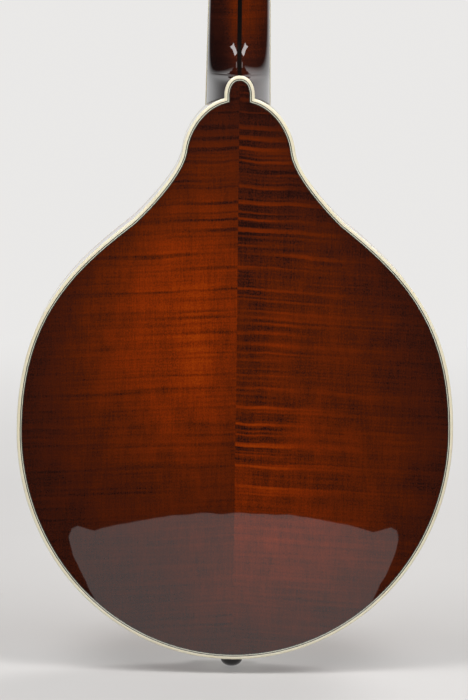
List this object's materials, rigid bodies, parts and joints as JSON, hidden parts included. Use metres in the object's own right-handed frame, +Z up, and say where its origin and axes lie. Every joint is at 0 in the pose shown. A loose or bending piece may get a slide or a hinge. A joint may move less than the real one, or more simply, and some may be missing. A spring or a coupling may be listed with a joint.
{
  "type": "mandolin",
  "caption": "Teardrop-shaped arched-back mandolin with a bound sunburst body, round heel button, slim neck and paired strings.",
  "frame": {"origin": "centre of the end pin's flat outer face, on the centre plane and at the middle of the sides' depth", "axes": "+Z up the centreline towards the headstock, +Y out of the string side, +X towards the bass strings; the back faces -Y"},
  "size_m": [0.254, 0.1073, 0.6836],
  "materials": {
    "flamed_maple": "gloss",
    "neck_maple": "gloss",
    "spruce": "gloss",
    "inner_wood": "matte",
    "ebony": "satin",
    "cream_binding": "gloss",
    "pearl_plastic": "gloss",
    "bone": "satin",
    "steel": "satin",
    "brass": "satin",
    "nickel": "polished",
    "bronze_string": "satin",
    "plain_string": "polished"
  },
  "bodies": {
    "mandolin": {"back_bass_half": "flamed_maple", "back_treble_half": "flamed_maple", "back_binding": "cream_binding", "top_bass_half": "spruce", "top_treble_half": "spruce", "top_binding": "cream_binding", "side_bass": "flamed_maple", "side_treble": "flamed_maple", "lining_back_bass": "inner_wood", "lining_back_treble": "inner_wood", "lining_top_bass": "inner_wood", "lining_top_treble": "inner_wood", "tone_bar_bass": "spruce", "tone_bar_treble": "spruce", "tail_block": "inner_wood", "neck_block": "inner_wood", "end_pin": "ebony", "neck_bass_half": "neck_maple", "neck_treble_half": "neck_maple", "neck_centre_strip": "ebony", "fingerboard": "ebony", "nut": "bone", "truss_rod": "steel", "headstock_overlay": "ebony", "truss_rod_cover": "ebony", "tuner_plate_bass": "nickel", "tuner_plate_treble": "nickel", "bridge_base": "ebony", "bridge_post_bass": "brass", "bridge_post_treble": "brass", "tailpiece_base": "nickel", "string_g1": "bronze_string", "string_g2": "bronze_string", "string_d1": "bronze_string", "string_d2": "bronze_string", "string_a1": "plain_string", "string_a2": "plain_string", "string_e1": "plain_string", "string_e2": "plain_string"},
    "truss_nut": {"truss_rod_nut": "brass"},
    "saddle": {"bridge_saddle": "ebony"},
    "wheel_bass": {"thumbwheel_bass": "brass"},
    "wheel_treble": {"thumbwheel_treble": "brass"},
    "cover": {"tailpiece_cover": "nickel"},
    "knob_bass_1": {"tuner_knob_bass_1": "pearl_plastic"},
    "post_bass_1": {"tuner_post_bass_1": "nickel"},
    "knob_bass_2": {"tuner_knob_bass_2": "pearl_plastic"},
    "post_bass_2": {"tuner_post_bass_2": "nickel"},
    "knob_bass_3": {"tuner_knob_bass_3": "pearl_plastic"},
    "post_bass_3": {"tuner_post_bass_3": "nickel"},
    "knob_bass_4": {"tuner_knob_bass_4": "pearl_plastic"},
    "post_bass_4": {"tuner_post_bass_4": "nickel"},
    "knob_treble_1": {"tuner_knob_treble_1": "pearl_plastic"},
    "post_treble_1": {"tuner_post_treble_1": "nickel"},
    "knob_treble_2": {"tuner_knob_treble_2": "pearl_plastic"},
    "post_treble_2": {"tuner_post_treble_2": "nickel"},
    "knob_treble_3": {"tuner_knob_treble_3": "pearl_plastic"},
    "post_treble_3": {"tuner_post_treble_3": "nickel"},
    "knob_treble_4": {"tuner_knob_treble_4": "pearl_plastic"},
    "post_treble_4": {"tuner_post_treble_4": "nickel"}
  },
  "joints": [
    {"name": "knob_turn_bass_1", "type": "hinge", "parent": "mandolin", "child": "knob_bass_1", "pos_m": [0.017, -0.01964, 0.5734], "axis": [1, 0, 0], "continuous": true},
    {"name": "post_turn_bass_1", "type": "hinge", "parent": "mandolin", "child": "post_bass_1", "pos_m": [0.017, 0.00014, 0.57266], "axis": [0, 0.9426, 0.3338], "continuous": true},
    {"name": "knob_turn_bass_2", "type": "hinge", "parent": "mandolin", "child": "knob_bass_2", "pos_m": [0.017, -0.02732, 0.59508], "axis": [1, 0, 0], "continuous": true},
    {"name": "post_turn_bass_2", "type": "hinge", "parent": "mandolin", "child": "post_bass_2", "pos_m": [0.017, -0.00754, 0.59435], "axis": [0, 0.9426, 0.3338], "continuous": true},
    {"name": "knob_turn_bass_3", "type": "hinge", "parent": "mandolin", "child": "knob_bass_3", "pos_m": [0.017, -0.035, 0.61677], "axis": [1, 0, 0], "continuous": true},
    {"name": "post_turn_bass_3", "type": "hinge", "parent": "mandolin", "child": "post_bass_3", "pos_m": [0.017, -0.01522, 0.61603], "axis": [0, 0.9426, 0.3338], "continuous": true},
    {"name": "knob_turn_bass_4", "type": "hinge", "parent": "mandolin", "child": "knob_bass_4", "pos_m": [0.017, -0.04267, 0.63845], "axis": [1, 0, 0], "continuous": true},
    {"name": "post_turn_bass_4", "type": "hinge", "parent": "mandolin", "child": "post_bass_4", "pos_m": [0.017, -0.02289, 0.63771], "axis": [0, 0.9426, 0.3338], "continuous": true},
    {"name": "knob_turn_treble_1", "type": "hinge", "parent": "mandolin", "child": "knob_treble_1", "pos_m": [-0.017, -0.01964, 0.5734], "axis": [1, 0, 0], "continuous": true},
    {"name": "post_turn_treble_1", "type": "hinge", "parent": "mandolin", "child": "post_treble_1", "pos_m": [-0.017, 0.00014, 0.57266], "axis": [0, 0.9426, 0.3338], "continuous": true},
    {"name": "knob_turn_treble_2", "type": "hinge", "parent": "mandolin", "child": "knob_treble_2", "pos_m": [-0.017, -0.02732, 0.59508], "axis": [1, 0, 0], "continuous": true},
    {"name": "post_turn_treble_2", "type": "hinge", "parent": "mandolin", "child": "post_treble_2", "pos_m": [-0.017, -0.00754, 0.59435], "axis": [0, 0.9426, 0.3338], "continuous": true},
    {"name": "knob_turn_treble_3", "type": "hinge", "parent": "mandolin", "child": "knob_treble_3", "pos_m": [-0.017, -0.035, 0.61677], "axis": [1, 0, 0], "continuous": true},
    {"name": "post_turn_treble_3", "type": "hinge", "parent": "mandolin", "child": "post_treble_3", "pos_m": [-0.017, -0.01522, 0.61603], "axis": [0, 0.9426, 0.3338], "continuous": true},
    {"name": "knob_turn_treble_4", "type": "hinge", "parent": "mandolin", "child": "knob_treble_4", "pos_m": [-0.017, -0.04267, 0.63845], "axis": [1, 0, 0], "continuous": true},
    {"name": "post_turn_treble_4", "type": "hinge", "parent": "mandolin", "child": "post_treble_4", "pos_m": [-0.017, -0.02289, 0.63771], "axis": [0, 0.9426, 0.3338], "continuous": true},
    {"name": "saddle_height", "type": "slide", "parent": "mandolin", "child": "saddle", "axis": [0, 1, 0], "range_m": [-0.0015, 0.0025], "deforming": ["string_g1", "string_g2", "string_d1", "string_d2", "string_a1", "string_a2", "string_e1", "string_e2"]},
    {"name": "thumbwheel_turn_bass", "type": "hinge", "parent": "saddle", "child": "wheel_bass", "pos_m": [0.0275, 0.04575, 0.185], "axis": [0, 1, 0], "range_deg": [-772, 1286]},
    {"name": "thumbwheel_turn_treble", "type": "hinge", "parent": "saddle", "child": "wheel_treble", "pos_m": [-0.0275, 0.04575, 0.185], "axis": [0, 1, 0], "range_deg": [-772, 1286]},
    {"name": "truss_nut_turn", "type": "hinge", "parent": "mandolin", "child": "truss_nut", "pos_m": [0, 0.00591, 0.5426], "axis": [0, -0.0959, 0.9954], "range_deg": [-180, 180]},
    {"name": "cover_slide", "type": "slide", "parent": "mandolin", "child": "cover", "axis": [0, 0, -1], "range_m": [0, 0.06]}
  ],
  "couplings": [
    {"joint": "post_turn_bass_1", "follows": "knob_turn_bass_1", "ratio": 0.0625},
    {"joint": "post_turn_bass_2", "follows": "knob_turn_bass_2", "ratio": 0.0625},
    {"joint": "post_turn_bass_3", "follows": "knob_turn_bass_3", "ratio": 0.0625},
    {"joint": "post_turn_bass_4", "follows": "knob_turn_bass_4", "ratio": 0.0625},
    {"joint": "post_turn_treble_1", "follows": "knob_turn_treble_1", "ratio": -0.0625},
    {"joint": "post_turn_treble_2", "follows": "knob_turn_treble_2", "ratio": -0.0625},
    {"joint": "post_turn_treble_3", "follows": "knob_turn_treble_3", "ratio": -0.0625},
    {"joint": "post_turn_treble_4", "follows": "knob_turn_treble_4", "ratio": -0.0625},
    {"joint": "thumbwheel_turn_bass", "follows": "saddle_height", "rad_per_m": 8976},
    {"joint": "thumbwheel_turn_treble", "follows": "saddle_height", "rad_per_m": 8976}
  ]
}
